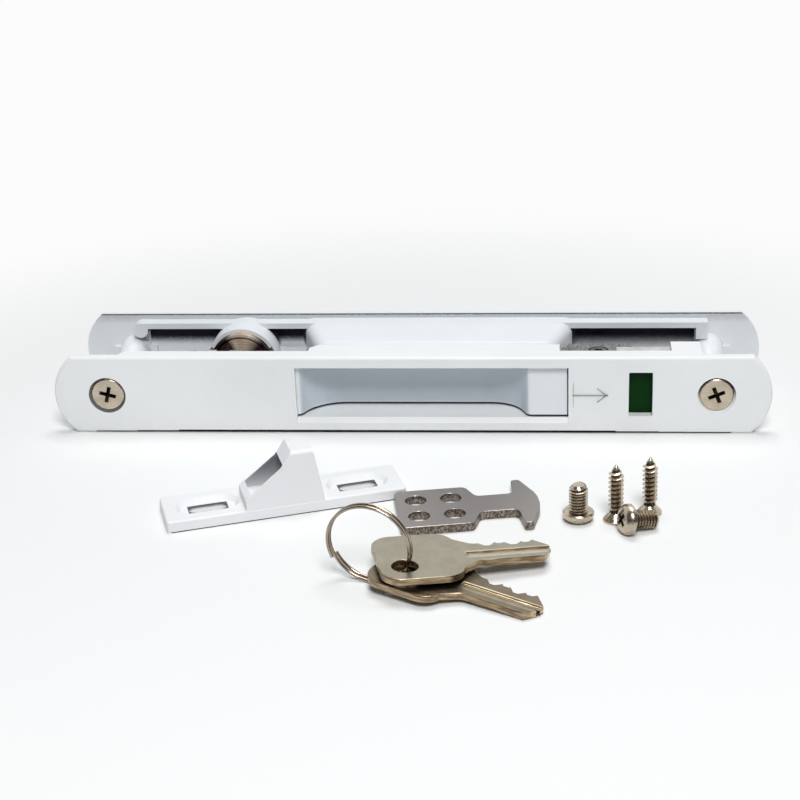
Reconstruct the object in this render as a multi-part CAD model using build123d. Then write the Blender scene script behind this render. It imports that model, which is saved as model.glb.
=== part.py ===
from build123d import *
import math
import os

os.makedirs("parts", exist_ok=True)

# A sliding door lock laid out on a table: two plates joined by long screws, with the slide
# and its cylinder between them, and the loose pieces of the set in front.
# X runs along the plates, Y runs from the front plate to the back plate, Z is up.
# Depths are measured in Y from the outer face of the front plate.

# Plates
plate_length = 202.0
plate_height = 22.8
plate_thickness = 2.6
end_bulge = 5.5
face_edge_radius = 0.9
door_thickness = 33.9
screw_spacing = 171.4
mid_z = plate_height / 2
back_inner = plate_thickness + door_thickness
back_outer = back_inner + plate_thickness

# Clearances
slide_gap = 0.3
pin_gap = 0.05
turn_gap = 0.06

# Long screws through both plates
screw_head_radius = 4.7
screw_hole_rim_radius = 5.3
screw_shank_radius = 2.45
screw_thread_radius = 2.05
screw_rim_depth = 0.3
screw_seat_gap = slide_gap * math.sqrt(2)
screw_head_sink = screw_rim_depth + screw_hole_rim_radius - screw_head_radius - screw_seat_gap
screw_length = 37.6

# Finger recess in the front plate
opening_left = -31.7
opening_right = 44.8
opening_low = 4.4
opening_high = plate_height - 3.15
opening_bevel = 1.3
lip_thickness = 1.3
shelf_depth = 12.6
shelf_left = -31.7
upper_shelf_left = -28.7
shelf_right = 42.3
shelf_corner = 2.6
shelf_thickness = 2.3

# Ribs on the back of the front plate
front_rib_inset = 0.8
front_rib_thickness = 1.7
front_rib_depth = 7.4
front_rib_left = -82.6
front_rib_right = 82.0
collar_radius = 5.6
collar_height = 1.4

# Travel of the slide and throw of the cam
travel = 8.5
cam_throw = 6.0
cam_half_turn = math.degrees(math.asin(travel / (2 * cam_throw)))

# Sliding finger pull: a wavy wall between the two shelves
pull_front = 1.6
pull_thickness = 1.35
pull_floor = 10.8
pull_left = -42.0
pull_right = 47.0
pocket_left = -30.6
pocket_right = 33.4
flank_run = 4.0
pocket_left_radius = 12.4
pocket_right_radius = 10.0
pull_lip_radius = 1.9
pull_back = pull_front + pull_thickness

# Indicator behind its window
window_left = 61.5
window_width = 6.6
window_low = 5.3
window_high = plate_height - 4.5
window_corner = 0.4
strip_left = 36.0
strip_thickness = 0.8
strip_low = 5.0
strip_high = plate_height - 3.9
flag_thickness = 0.15
flag_margin = 0.85
flag_inset = 0.2
rivet_radius = 0.9
rivet_head_radius = 1.7
rivet_head_height = 0.7
rivet_depth = 0.7
strip_rivet_x = (38.6, 44.4)

# Drive bar behind the finger pull
bar_thickness = 1.8
bar_low = 6.6
bar_high = plate_height - 6.6
bar_right = 46.0
bar_head_left = -66.0
bar_head_right = -50.2
bar_head_depth = 18.2
bar_head_low = 3.4
bar_head_high = plate_height - 5.2
bar_bend_right = -44.2
bar_rivet_x = (-12.0, 16.0)
bar_notch_width = 2.2
bar_notch_depth = 2.4
bar_slot_play = 0.1

# Carriage that carries the hook
carriage_left = 42.7
carriage_right = 64.2
carriage_front = 7.8
carriage_back = 15.8
carriage_low = 3.2
carriage_high = plate_height - 1.9
carriage_step = carriage_high - 1.1
carriage_top_left = 44.2
carriage_top_right = 62.6
carriage_pin_x = 44.5
carriage_pin_radius = 1.0
carriage_slant = 0.8
hook_hole_x = 53.4
hook_pitch = 9.0
hook_thread_radius = 2.1
hook_thread_depth = 4.5
detent_x = 53.2
detent_depth = 10.9
detent_bore_radius = 1.8
detent_plug_radius = 2.75
detent_plug_height = 2.4
detent_socket_radius = 1.25
detent_ball_radius = 1.6
detent_dimple_drop = 0.8
detent_rim = 0.4
spring_play = 0.15
spring_wire = 0.5
spring_turns = 7
rail_top = 2.9
rail_left = 38.0
rail_depth = 16.3
tongue_left = 58.3
tongue_right = 76.0
tongue_high = carriage_high
tongue_low = tongue_high - 2.4
tongue_front = 10.2
tongue_width = 3.0
tongue_tip = 0.5

# Guide block at the right end of the front plate
block_left = 73.5
block_right = 81.8
block_depth = 14.6

# Strap that keeps the left end of the finger pull in its track
strap_left = -52.5
strap_right = -31.9
strap_thickness = 0.8
strap_low = 5.6
strap_high = plate_height - 4.4
strap_bend = 1.6
strap_screw_x = -49.2
strap_screw_pitch = 7.0
strap_screw_radius = 1.0
strap_screw_head_radius = 1.9
strap_screw_length = 2.0
strap_screw_head_height = 1.0
strap_screw_head_edge = 0.5

# Ribs and bosses inside the back plate
back_rib_inset = 1.5
back_rib_thickness = 1.7
back_rib_height = 4.2
back_rib_left = -83.1
back_rib_right = 85.4
back_rib_return = 5.2
back_post_radius = 2.25
boss_base_radius = 5.1
boss_tip_radius = 4.7
boss_height = 3.2
boss_edge_radius = 0.9
gusset_reach = 6.6
gusset_thickness = 3.6
gusset_height = 2.2
web_height = 4.2
web_thickness = 1.9
web_rise = 0.5
mark_radius = 1.85
mark_line = 0.4
mark_height = 0.3
mark_x = 53.5
mark_z = 14.9

# Grip cup of the back plate
cup_left = -34.6
cup_right = 47.2
cup_low = 1.5
cup_high = plate_height - 1.15
cup_front = 18.5
cup_draft_x = 6.5
cup_draft_z = 1.6
cup_corner = 3.6
cup_edge_radius = 2.0
cup_wall = 1.8

# Cylinder
cylinder_x = -51.4
cylinder_radius = 9.4
cylinder_front = 24.0
cylinder_flange_radius = 10.6
cylinder_flange_height = 0.8
cylinder_recess_radius = 8.6
cylinder_recess_depth = 2.6
cylinder_boss_radius = 10.5
cylinder_boss_front = 25.6
plug_radius = 6.0
plug_tail = 3.6
plug_face = 0.2
plug_tail_back = 2.0
key_slot_width = 2.3
key_slot_height = 8.6
key_slot_floor = 27.4
wafer_count = 5
wafer_pitch = 2.2
wafer_thickness = 1.0
wafer_width = 5.2
wafer_height = 9.8
wafer_window_width = 3.0
wafer_window_height = 6.8
wafer_step = 0.3
first_wafer = 28.6
cam_radius = 8.0
cam_thickness = 1.6
cam_edge = 0.3
cam_floor_gap = 0.5
cam_pin_radius = 1.5
cam_pin_tip = 17.9
cam_screw_head_radius = 2.3
cam_screw_head_height = 1.1
cam_screw_head_edge = 0.5
cam_screw_radius = 1.1
cam_screw_length = 5.0
clip_width = 1.5
clip_thickness = 0.8
clip_groove = 0.6
clip_opening = 120.0

# Strike, laid at an angle on the table
strike_length = 62.0
strike_width = 15.6
strike_thickness = 3.0
strike_edge_radius = 0.5
strike_corner_radius = 0.9
strike_place = (-26.0, -52.6)
strike_turn = 20.0
tower_left = -10.8
tower_right = 9.8
tower_shoulder = 5.6
tower_knee = (-1.2, 12.9)
tower_top_left = 1.6
tower_top_right = 7.2
tower_height = 17.0
tower_foot_depth = 11.4
tower_top_depth = 10.0
tower_front_lean = 0.9
tower_round = 1.1
tower_wall = 1.5
tower_skin = 0.8
tower_roof_low = 13.6
tower_floor = 4.6
slot_x = 19.6
slot_length = 10.0
slot_width = 4.0
slot_rim_length = 16.3
slot_rim_width = 9.4
slot_floor_depth = 1.1
slot_floor_inset = 1.2

# Hook plate
hook_place = (-0.2, -43.4)
hook_turn = 10.5
hook_thickness = 2.4
hook_body_length = 18.4
hook_body_width = 20.8
hook_hole_from_end = 9.65
hook_hole_radius = 2.7
hook_neck_width = 9.2
hook_neck_end = 30.3
hook_head_end = 36.2
hook_head_width = 24.6
hook_corner_radius = 1.6
hook_neck_radius = 1.8
hook_tip_radius = 0.7
hook_shoulder_run = 2.2
hook_barb_run = 0.5
hook_barb_flat = 2.1
hook_nose_half = 1.8

# Loose machine screws for the hook
machine_head_radius = 3.95
machine_head_height = 2.8
machine_dome = 0.9
machine_shank_radius = 2.4
machine_length = 9.9
machine_tip = 0.5
standing_machine_place = (47.3, -54.2)
lying_machine_place = (57.6, -61.8)
lying_machine_turn = 14.0

# Loose tapping screws for the strike
tapping_head_radius = 3.15
tapping_head_height = 2.3
tapping_rim = 0.5
tapping_shank_radius = 1.95
tapping_length = 15.4
tapping_point = 3.0
tapping_neck_share = 0.8
tapping_neck_place = 0.6
tapping_places = ((56.6, -54.0), (65.2, -49.6))

# Keys
key_thickness = 1.8
key_bow_back = 5.4
key_bow_front = 14.4
key_bow_width = 22.0
key_bow_corner = 5.0
key_hole_radius = 3.15
key_hole_place = (0.6, -4.5)
key_blade_width = 8.6
key_length = 36.6
key_shoulder = 3.8
key_shoulder_radius = 3.5
key_tip_run = 3.4
key_tip_half = 0.8
key_tip_near_share = 0.7
key_groove_width = 1.7
key_groove_depth = 0.5
key_groove_place = -0.6
key_groove_start = -2.0
key_cut_depths = (1.4, 0.6, 1.8, 1.0)
key_cut_pitch = 3.2
key_first_cut = 5.0
key_cut_width = 1.2
key_cut_flare = 1.0
key_tilt = 3.3
lower_key_place = (6.4, -84.9, 2.2)
lower_key_turn = -27.4
upper_key_place = (5.3, -87.0, 4.74)
upper_key_turn = 16.2

# Split ring: two turns of wire
ring_radius = 10.1
ring_wire = 0.8
ring_pitch = 1.27
ring_turns = 2
ring_tilt = 93.0
ring_turn = -16.0
ring_place = (-1.2, -88.0)
ring_spin = 205.0


def slab(sketch, near, far):
    """Extrude a sketch drawn in X and Z from one depth to another."""
    return extrude(Plane.XZ.offset(-near) * sketch, amount=near - far)


def block(left, right, near, far, low, high):
    return Pos((left + right) / 2, (near + far) / 2, (low + high) / 2) * Box(
        right - left, far - near, high - low
    )


def rod(x, z, radius, near, far):
    """A round bar along Y."""
    return slab(Pos(x, z) * Circle(radius), near, far)


def cone(x, z, near_radius, far_radius, near, far):
    """A taper along Y."""
    profile = Polyline((0, near), (near_radius, near), (far_radius, far), (0, far), close=True)
    return Pos(x, 0, z) * revolve(make_face(profile), Axis.Y)


def plate_outline():
    half = plate_length / 2
    straight = half - end_bulge
    right_end = ThreePointArc((straight, 0), (half, mid_z), (straight, plate_height))
    top = Line((straight, plate_height), (-straight, plate_height))
    left_end = ThreePointArc((-straight, plate_height), (-half, mid_z), (-straight, 0))
    bottom = Line((-straight, 0), (straight, 0))
    return make_face(right_end + top + left_end + bottom)


def cover_plate(near, outer):
    """A plate with bulged ends and a rounded edge on its outer face."""
    plate = slab(plate_outline(), near, near + plate_thickness)
    rim = plate.faces().filter_by(Axis.Y).sort_by(Axis.Y)[-1 if outer else 0]
    return fillet(rim.edges(), face_edge_radius)


def screw_xs():
    return (-screw_spacing / 2, screw_spacing / 2)


def countersink(x):
    rim = rod(x, mid_z, screw_hole_rim_radius, -1, screw_rim_depth)
    shank_hole = screw_shank_radius + slide_gap
    taper_end = screw_rim_depth + screw_hole_rim_radius - shank_hole
    taper = cone(x, mid_z, screw_hole_rim_radius, shank_hole, screw_rim_depth, taper_end)
    return rim + taper + rod(x, mid_z, shank_hole, 0, plate_thickness + collar_height + 1)


def recess_opening():
    """The straight opening with the sloped sill along its lower edge."""
    through = block(opening_left, opening_right, -1, plate_thickness + 1, opening_low, opening_high)
    sill = Polyline(
        (-1, opening_low - opening_bevel - 1),
        (opening_bevel, opening_low),
        (-1, opening_low),
        close=True,
    )
    wedge = extrude(Plane.YZ.offset(opening_left) * make_face(sill), opening_right - opening_left)
    return through + wedge


def recess_shelf(left, low, high):
    """A shelf behind the opening, with its left back corner cut off."""
    shelf = block(left, shelf_right, plate_thickness, shelf_depth, low, high)
    corner = shelf.edges().filter_by(Axis.Z).group_by(Axis.Y)[-1].sort_by(Axis.X)[0]
    return chamfer(corner, shelf_corner)


def front_rib(low):
    high = low + front_rib_thickness
    rib = block(front_rib_left, front_rib_right, plate_thickness, front_rib_depth, low, high)
    ends = rib.edges().filter_by(Axis.Z).group_by(Axis.Y)[-1]
    return chamfer(ends, front_rib_thickness)


def guide_block():
    """The block that the guide tongue and the indicator strip pass through."""
    low = front_rib_inset
    high = plate_height - front_rib_inset
    body = block(block_left, block_right, plate_thickness, block_depth, low, high)
    ends = (block_left - 1, block_right + 1)
    strip_far = pull_back + strip_thickness + slide_gap
    body -= block(*ends, 0, strip_far, strip_low - slide_gap, strip_high + slide_gap)
    tongue_back = tongue_front + tongue_width
    body -= block(
        *ends,
        tongue_front - slide_gap,
        tongue_back + slide_gap,
        tongue_low - slide_gap,
        tongue_high + slide_gap,
    )
    return body


def detent_rail():
    """The ledge below the carriage, with a dimple under the ball at each end of its travel."""
    rail = block(rail_left, block_right, plate_thickness, rail_depth, front_rib_inset, rail_top)
    for x in (detent_x, detent_x + travel):
        rail -= Pos(x, detent_depth, rail_top + detent_dimple_drop) * Sphere(detent_ball_radius)
    return rail


def front_plate():
    plate = cover_plate(0, outer=False)
    plate += front_rib(front_rib_inset)
    plate += front_rib(plate_height - front_rib_inset - front_rib_thickness)
    plate += recess_shelf(upper_shelf_left, opening_high, opening_high + shelf_thickness)
    plate += recess_shelf(shelf_left, opening_low - shelf_thickness, opening_low)
    plate += guide_block()
    plate += detent_rail()
    for x in screw_xs():
        plate += rod(x, mid_z, collar_radius, plate_thickness, plate_thickness + collar_height)
    plate -= recess_opening()
    track_left = pull_left - slide_gap
    track_right = pull_right + travel + slide_gap
    plate -= block(track_left, track_right, lip_thickness, plate_thickness, opening_low, opening_high)
    window = Pos(window_left + window_width / 2, (window_low + window_high) / 2) * RectangleRounded(
        window_width, window_high - window_low, window_corner
    )
    plate -= slab(window, -1, plate_thickness + 1)
    for x in screw_xs():
        plate -= countersink(x)
    for z in strap_screw_zs():
        hole_floor = plate_thickness - strap_screw_length + strap_thickness
        plate -= rod(strap_screw_x, z, strap_screw_radius + pin_gap, hole_floor, plate_thickness + 1)
    return plate


def wall_along(points, radii, thickness):
    """A wall of even thickness behind a path drawn in plan, as a face."""
    path = FilletPolyline(*points, radius=radii)
    return make_face(offset(path, amount=thickness, side=Side.LEFT, closed=True))


def slide_handle():
    """The wavy finger pull: a flat pad at each end and a deep pocket between them."""
    points = (
        (pull_left, pull_front),
        (pocket_left, pull_front),
        (pocket_left + flank_run, pull_floor),
        (pocket_right - flank_run, pull_floor),
        (pocket_right, pull_front),
        (pull_right, pull_front),
    )
    radii = (pull_lip_radius, pocket_left_radius, pocket_right_radius, pull_lip_radius)
    plan = wall_along(points, radii, pull_thickness)
    low = opening_low + slide_gap
    pull = Pos(0, 0, low) * extrude(plan, opening_high - slide_gap - low)
    for x in strip_rivet_x:
        pull -= rod(x, mid_z, rivet_radius + pin_gap, pull_back - rivet_depth, pull_back + 1)
    for x in bar_rivet_x:
        floor_back = pull_floor + pull_thickness
        pull -= rod(x, mid_z, rivet_radius + pin_gap, floor_back - rivet_depth, floor_back + 1)
    return pull


def strip_right():
    return window_left + window_width + flag_margin + flag_inset


def indicator_strip():
    far = pull_back + strip_thickness
    strip = block(strip_left, strip_right(), pull_back, far, strip_low, strip_high)
    corners = strip.edges().filter_by(Axis.Y)
    strip = fillet(corners, window_corner)
    for x in strip_rivet_x:
        strip -= rod(x, mid_z, rivet_radius + pin_gap, pull_back - 1, far + 1)
    return strip


def indicator_flag(x):
    """A coloured field stuck on the strip, as wide as the window and a margin each side."""
    left = x - flag_margin
    right = x + window_width + flag_margin
    return block(
        left,
        right,
        pull_back - flag_thickness,
        pull_back,
        strip_low + flag_inset,
        strip_high - flag_inset,
    )


def rivets(xs, seat):
    """Rivets whose heads lie on a seat and whose shanks reach forward into the pull."""
    group = []
    for x in xs:
        shank_tip = seat["pull"] - rivet_depth + pin_gap
        shank = rod(x, mid_z, rivet_radius, shank_tip, seat["head"])
        head = rod(x, mid_z, rivet_head_radius, seat["head"], seat["head"] + rivet_head_height)
        head_rim = head.faces().sort_by(Axis.Y)[-1].edges()
        group.append(shank + chamfer(head_rim, rivet_head_height / 2))
    return Compound(children=group)


def bar_front():
    return pull_floor + pull_thickness


def cam_pin_place():
    """Where the cam's pin stands at rest, turned back from the upright by half its turn."""
    angle = math.radians(cam_half_turn)
    return (cylinder_x - cam_throw * math.sin(angle), mid_z + cam_throw * math.cos(angle))


def drive_bar():
    """A flat bar with its left end set back and slotted for the pin of the cam."""
    near = bar_front()
    centre = Polyline(
        (bar_head_left, bar_head_depth),
        (bar_head_right, bar_head_depth),
        (bar_bend_right, near),
        (bar_right, near),
    )
    plan = make_face(offset(centre, amount=bar_thickness, side=Side.LEFT, closed=True))
    tall = Pos(0, 0, bar_head_low) * extrude(plan, bar_head_high - bar_head_low)
    head = block(bar_head_left - 1, bar_head_right, 0, back_inner, bar_head_low, bar_head_high)
    strip = block(bar_head_left - 1, bar_right + 1, 0, back_inner, bar_low, bar_high)
    bar = tall & (head + strip)
    pin_x, pin_z = cam_pin_place()
    half_slot = cam_pin_radius + slide_gap + bar_slot_play
    slot_floor = pin_z - cam_pin_radius - slide_gap
    bar -= block(pin_x - half_slot, pin_x + half_slot, 0, back_inner, slot_floor, plate_height)
    notch_x = bar_head_left + bar_notch_width
    notch_floor = bar_head_high - bar_notch_depth
    bar -= block(notch_x, notch_x + bar_notch_width, 0, back_inner, notch_floor, plate_height)
    for x in bar_rivet_x:
        bar -= rod(x, mid_z, rivet_radius + pin_gap, 0, back_inner)
    bar -= rod(carriage_pin_x, mid_z, carriage_pin_radius + pin_gap, 0, back_inner)
    return bar


def hook_hole_places(x, z):
    half = hook_pitch / 2
    return [(x + i * half, z + j * half) for i in (-1, 1) for j in (-1, 1)]


def carriage():
    """The zinc block that the hook is screwed to, with the detent in its middle."""
    foot = block(
        carriage_left, carriage_right, carriage_front, carriage_back, carriage_low, carriage_step
    )
    head = block(
        carriage_top_left,
        carriage_top_right,
        carriage_front,
        carriage_back,
        carriage_step,
        carriage_high,
    )
    body = foot + head
    slant = body.edges().filter_by(Axis.Y).group_by(Axis.Z)[-1].sort_by(Axis.X)[0]
    body = chamfer(slant, carriage_slant)
    bar_near = bar_front() - slide_gap
    bar_far = bar_front() + bar_thickness + slide_gap
    body -= block(
        carriage_left - 1,
        bar_right + slide_gap,
        bar_near,
        bar_far,
        bar_low - slide_gap,
        bar_high + slide_gap,
    )
    body -= rod(carriage_pin_x, mid_z, carriage_pin_radius + pin_gap, 0, back_inner)
    for x, z in hook_hole_places(hook_hole_x, mid_z):
        body -= rod(x, z, hook_thread_radius, carriage_back - hook_thread_depth, carriage_back + 1)
    bore = Cylinder(detent_bore_radius, plate_height, align=(Align.CENTER, Align.CENTER, Align.MIN))
    body -= Pos(detent_x, detent_depth, 0) * bore
    seat = carriage_high - detent_plug_height
    body -= Pos(detent_x, detent_depth, seat) * Cylinder(
        detent_plug_radius + pin_gap, plate_height, align=(Align.CENTER, Align.CENTER, Align.MIN)
    )
    body -= block(
        tongue_left - pin_gap,
        carriage_right + 1,
        tongue_front - pin_gap,
        tongue_front + tongue_width + pin_gap,
        tongue_low - pin_gap,
        tongue_high + pin_gap,
    )
    return body


def guide_tongue():
    tongue_back = tongue_front + tongue_width
    bar = block(tongue_left, tongue_right, tongue_front, tongue_back, tongue_low, tongue_high)
    tip = bar.faces().sort_by(Axis.X)[-1].edges()
    return chamfer(tip, tongue_tip)


def detent_plug():
    """The screw plug above the spring, with a socket in its top."""
    height = detent_plug_height - pin_gap
    body = Cylinder(detent_plug_radius, height, align=(Align.CENTER, Align.CENTER, Align.MIN))
    rim = body.edges().group_by(Axis.Z)[-1]
    body = chamfer(rim, detent_rim)
    socket = extrude(RegularPolygon(detent_socket_radius, 6), height)
    body -= Pos(0, 0, height / 2) * socket
    return Pos(detent_x, detent_depth, carriage_high - height) * body


def ball_centre_z():
    return carriage_low + detent_ball_radius + pin_gap


def detent_ball():
    return Pos(detent_x, detent_depth, ball_centre_z()) * Sphere(detent_ball_radius)


def coil_path(radius, pitch, turns, start):
    """Half turns, each a circular arc in a leaning plane, joined end to end without a kink."""
    arcs = []
    for i in range(2 * turns):
        side = 1 if i % 2 == 0 else -1
        z0 = start + pitch * i / 2
        z1 = z0 + pitch / 2
        arcs.append(
            ThreePointArc((side * radius, 0, z0), (0, side * radius, (z0 + z1) / 2), (-side * radius, 0, z1))
        )
    return Wire(arcs)


def coil(radius, wire, pitch, turns, start):
    path = coil_path(radius, pitch, turns, start)
    section = Plane(origin=path @ 0, z_dir=path % 0) * Circle(wire / 2)
    return sweep(section, path=path)


def spring_radius():
    return detent_bore_radius - spring_wire / 2 - spring_play


def spring_ends():
    """The heights of the spring's ends, between the ball and the plug."""
    low = ball_centre_z() + detent_ball_radius + spring_wire
    high = carriage_high - detent_plug_height - spring_wire
    return low, high


def detent_spring():
    low, high = spring_ends()
    turns = coil(spring_radius(), spring_wire, (high - low) / spring_turns, spring_turns, low)
    return Pos(detent_x, detent_depth, 0) * turns


def carriage_pin():
    return rod(carriage_pin_x, mid_z, carriage_pin_radius, carriage_front, carriage_back)


def strap_screw_zs():
    return (mid_z - strap_screw_pitch / 2, mid_z + strap_screw_pitch / 2)


def left_retainer():
    """A strap screwed to the plate, stepped back over the end of the finger pull."""
    step_back = pull_back + slide_gap
    step_x = pull_left - slide_gap - strap_thickness
    path = Polyline(
        (strap_left, plate_thickness),
        (step_x - strap_bend, plate_thickness),
        (step_x, step_back),
        (strap_right, step_back),
    )
    plan = make_face(offset(path, amount=strap_thickness, side=Side.LEFT, closed=True))
    strap = Pos(0, 0, strap_low) * extrude(plan, strap_high - strap_low)
    for z in strap_screw_zs():
        strap -= rod(strap_screw_x, z, strap_screw_radius + pin_gap, 0, back_inner)
    return strap


def retainer_screws():
    group = []
    seat = plate_thickness + strap_thickness
    for z in strap_screw_zs():
        tip = seat - strap_screw_length + pin_gap
        shank = rod(strap_screw_x, z, strap_screw_radius, tip, seat)
        head = rod(strap_screw_x, z, strap_screw_head_radius, seat, seat + strap_screw_head_height)
        head_rim = head.faces().sort_by(Axis.Y)[-1].edges()
        group.append(shank + fillet(head_rim, strap_screw_head_edge))
    return Compound(children=group)


def through_screws():
    """Countersunk screws from the front plate into the threads of the back plate's bosses."""
    group = []
    taper_end = screw_head_sink + screw_head_radius - screw_shank_radius
    for x in screw_xs():
        head = cone(x, mid_z, screw_head_radius, screw_shank_radius, screw_head_sink, taper_end)
        shank_end = back_inner - boss_height - slide_gap
        shank = rod(x, mid_z, screw_shank_radius, taper_end, shank_end)
        thread = rod(x, mid_z, screw_thread_radius, shank_end, screw_length)
        group.append(head + shank + thread)
    return Compound(children=group)


def screw_boss(x):
    """A low tapered boss on a lug that runs along the plate."""
    tip = back_inner - boss_height
    boss = cone(x, mid_z, boss_tip_radius, boss_base_radius, tip, back_inner)
    boss = fillet(boss.faces().filter_by(Axis.Y).sort_by(Axis.Y)[0].edges(), boss_edge_radius)
    low = mid_z - gusset_thickness / 2
    high = mid_z + gusset_thickness / 2
    near = back_inner - gusset_height
    return boss + block(x - gusset_reach, x + gusset_reach, near, back_inner, low, high)


def back_rib(z_sign):
    """One long rib with a round post at its left end and a return at its right end."""
    reach = mid_z - back_rib_inset
    outer = mid_z + z_sign * reach
    inner = outer - z_sign * back_rib_thickness
    low, high = min(outer, inner), max(outer, inner)
    near = back_inner - back_rib_height
    rib = block(back_rib_left, back_rib_right, near, back_inner, low, high)
    turn_end = outer - z_sign * back_rib_return
    low, high = min(outer, turn_end), max(outer, turn_end)
    corner_left = back_rib_right - back_rib_thickness * 2
    rib += block(corner_left, back_rib_right, near, back_inner, low, high)
    post_z = outer - z_sign * back_post_radius
    return rib + rod(back_rib_left, post_z, back_post_radius, near, back_inner)


def cup_section(inset, depth, share):
    """A rounded rectangle of the cup at a depth; share runs from 0 at the plate to 1 at the front."""
    left = cup_left + inset + cup_draft_x * share
    right = cup_right - inset - cup_draft_x * share
    low = cup_low + inset + cup_draft_z * share
    high = cup_high - inset - cup_draft_z * share
    outline = Pos((left + right) / 2, (low + high) / 2) * RectangleRounded(
        right - left, high - low, cup_corner
    )
    return Plane.XZ.offset(-depth) * outline


def grip_cup():
    shell = loft([cup_section(0, cup_front, 1), cup_section(0, back_inner, 0)])
    front_edges = shell.faces().filter_by(Axis.Y).sort_by(Axis.Y)[0].edges()
    return fillet(front_edges, cup_edge_radius)


def grip_hollow():
    hollow = loft(
        [cup_section(cup_wall, cup_front + cup_wall, 1), cup_section(cup_wall, back_outer + 1, 0)]
    )
    floor_edges = hollow.faces().filter_by(Axis.Y).sort_by(Axis.Y)[0].edges()
    return fillet(floor_edges, cup_edge_radius)


def back_plate():
    plate = cover_plate(back_inner, outer=True)
    plate += back_rib(1)
    plate += back_rib(-1)
    plate += grip_cup()
    for x in screw_xs():
        plate += screw_boss(x)
    plate += rod(cylinder_x, mid_z, cylinder_boss_radius, cylinder_boss_front, back_inner)
    web_low = mid_z + web_rise
    web_near = back_inner - web_height
    plate += block(cylinder_x, cup_left + 2, web_near, back_inner, web_low, web_low + web_thickness)
    mark = rod(mark_x, mark_z, mark_radius, back_inner - mark_height, back_inner)
    plate += mark - rod(mark_x, mark_z, mark_radius - mark_line, 0, back_inner)
    plate -= grip_hollow()
    plate -= rod(cylinder_x, mid_z, cylinder_radius + pin_gap, 0, back_outer + 1)
    for x in screw_xs():
        plate -= rod(x, mid_z, screw_thread_radius + pin_gap, 0, screw_length + slide_gap)
    return plate


def cylinder_body():
    body = rod(cylinder_x, mid_z, cylinder_radius, cylinder_front, back_outer)
    flange = rod(
        cylinder_x, mid_z, cylinder_flange_radius, back_outer, back_outer + cylinder_flange_height
    )
    flange = fillet(flange.faces().sort_by(Axis.Y)[-1].edges(), cylinder_flange_height / 2)
    body += flange
    recess_floor = cylinder_front + cylinder_recess_depth
    body -= rod(cylinder_x, mid_z, cylinder_recess_radius, 0, recess_floor)
    body -= rod(cylinder_x, mid_z, plug_radius + turn_gap, 0, back_outer + 2)
    groove_near = clip_near() - pin_gap
    groove_far = clip_near() + clip_thickness + pin_gap
    groove = rod(cylinder_x, mid_z, cylinder_radius + 1, groove_near, groove_far)
    groove -= rod(cylinder_x, mid_z, cylinder_radius - clip_groove, groove_near, groove_far)
    return body - groove


def clip_near():
    return cylinder_boss_front - clip_thickness - 2 * pin_gap


def cylinder_clip():
    """A spring clip in the cylinder's groove, open at its top."""
    inner = cylinder_radius - clip_groove + pin_gap
    far = clip_near() + clip_thickness
    ring = rod(cylinder_x, mid_z, inner + clip_width, clip_near(), far)
    ring -= rod(cylinder_x, mid_z, inner, clip_near(), far)
    reach = 2 * plate_height
    half_angle = math.radians(clip_opening / 2)
    mouth = Polyline(
        (cylinder_x, mid_z),
        (cylinder_x - reach * math.sin(half_angle), mid_z + reach * math.cos(half_angle)),
        (cylinder_x + reach * math.sin(half_angle), mid_z + reach * math.cos(half_angle)),
        close=True,
    )
    return ring - slab(make_face(mouth), 0, back_inner)


def cam_far():
    return cylinder_front + cylinder_recess_depth - cam_floor_gap


def cam_near():
    return cam_far() - cam_thickness


def turned(shape):
    """Turn a shape about the cylinder's axis from the upright to the rest place of the cam."""
    axis = Axis((cylinder_x, 0, mid_z), (0, 1, 0))
    return shape.rotate(axis, -cam_half_turn)


def wafer_ys():
    return [first_wafer + i * wafer_pitch for i in range(wafer_count)]


def key_passage(far):
    half = key_slot_width / 2
    low = mid_z - key_slot_height / 2
    high = mid_z + key_slot_height / 2
    return block(cylinder_x - half, cylinder_x + half, key_slot_floor, far, low, high)


def wafer_block(near, far, gap):
    half_width = wafer_width / 2 + gap
    half_height = wafer_height / 2 + gap
    return block(
        cylinder_x - half_width,
        cylinder_x + half_width,
        near - gap,
        far + gap,
        mid_z - half_height,
        mid_z + half_height,
    )


def cylinder_plug():
    """The turning core with its key passage, wafer slots and square tail."""
    face = back_outer + cylinder_flange_height + plug_face
    plug = rod(cylinder_x, mid_z, plug_radius, cylinder_front + cylinder_recess_depth, face)
    half = plug_tail / 2
    tail_near = cam_near() + pin_gap
    plug += block(
        cylinder_x - half,
        cylinder_x + half,
        tail_near,
        face - plug_tail_back,
        mid_z - half,
        mid_z + half,
    )
    plug -= key_passage(face + 1)
    for y in wafer_ys():
        plug -= wafer_block(y, y + wafer_thickness, pin_gap)
    screw_floor = cam_near() + cam_screw_length - cam_screw_head_height
    plug -= rod(cylinder_x, mid_z, cam_screw_radius + pin_gap, 0, screw_floor)
    return turned(plug)


def tumblers():
    """Flat wafers, each with a window for the key."""
    group = []
    for i, y in enumerate(wafer_ys()):
        wafer = wafer_block(y, y + wafer_thickness, 0)
        middle = mid_z + wafer_step * (i % 3 - 1)
        window = block(
            cylinder_x - wafer_window_width / 2,
            cylinder_x + wafer_window_width / 2,
            y - 1,
            y + wafer_thickness + 1,
            middle - wafer_window_height / 2,
            middle + wafer_window_height / 2,
        )
        group.append(turned(wafer - window))
    return Compound(children=group)


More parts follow.
